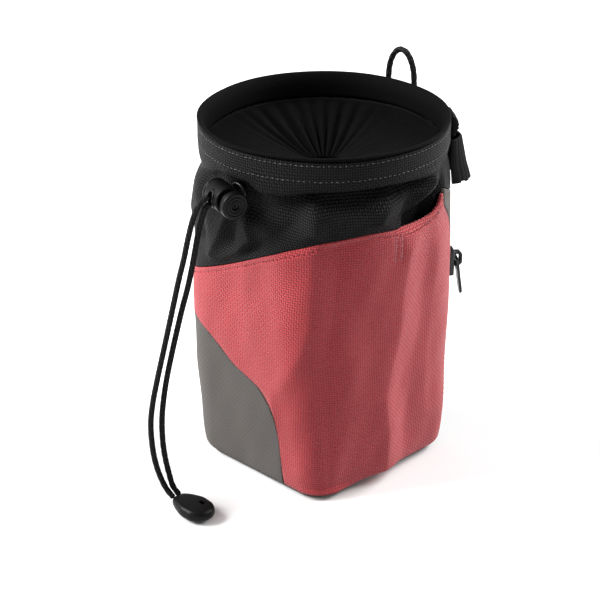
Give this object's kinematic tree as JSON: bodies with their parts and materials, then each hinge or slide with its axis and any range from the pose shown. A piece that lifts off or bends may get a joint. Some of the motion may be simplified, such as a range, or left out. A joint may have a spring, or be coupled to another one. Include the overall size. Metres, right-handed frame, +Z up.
{
  "type": "climbing chalk bag",
  "caption": "Soft drawstring chalk bag with a stiff round rim, squared base, gathered fleece closure, open side pocket, zip, brush loop, hanging loop and cord lock.",
  "frame": {"origin": "on the floor plane under the centre of the base and of the round mouth", "axes": "+Z up through the mouth, -Y towards the face with the cord lock, +X towards the open pocket"},
  "size_m": [0.116, 0.1601, 0.1894],
  "materials": {
    "black_cloth": "woven nylon, dull",
    "black_fleece": "short-pile fleece",
    "red_cloth": "fine ribbed weave, faded red",
    "grey_cloth": "coarse woven, warm grey",
    "black_webbing": "ribbed webbing",
    "black_cord": "braided cord",
    "black_plastic": "satin moulded",
    "black_metal": "black coated, satin"
  },
  "bodies": {
    "bag": {"rim_band": "black_cloth", "rim_lining": "black_cloth", "liner": "black_fleece", "closure_skirt": "black_fleece", "collar": "black_cloth", "pocket_panel": "red_cloth", "side_panel": "grey_cloth", "back_panel": "grey_cloth", "base_panel": "grey_cloth", "zip_tape": "black_webbing", "zip_teeth": "black_plastic", "zip_slider": "black_metal", "brush_loop": "black_webbing", "rim_tab": "black_webbing", "hang_loop": "black_cord", "cord_eyelet": "black_metal", "cord_lock_barrel": "black_plastic", "draw_cord_left": "black_cord", "draw_cord_right": "black_cord", "cord_end": "black_plastic"},
    "puller": {"zip_puller": "black_metal"},
    "lock_button": {"cord_lock_button": "black_plastic"}
  },
  "joints": [
    {"name": "puller_swing", "type": "hinge", "parent": "bag", "child": "puller", "pos_m": [0.03852, 0.05114, 0.09662], "axis": [0.7986, -0.6018, 0], "range_deg": [-11, 140]},
    {"name": "button_press", "type": "slide", "parent": "bag", "child": "lock_button", "axis": [-0.9563, 0.2924, 0], "range_m": [0, 0.0035], "stiffness_N_per_m": 300, "springref_m": -0.004}
  ]
}
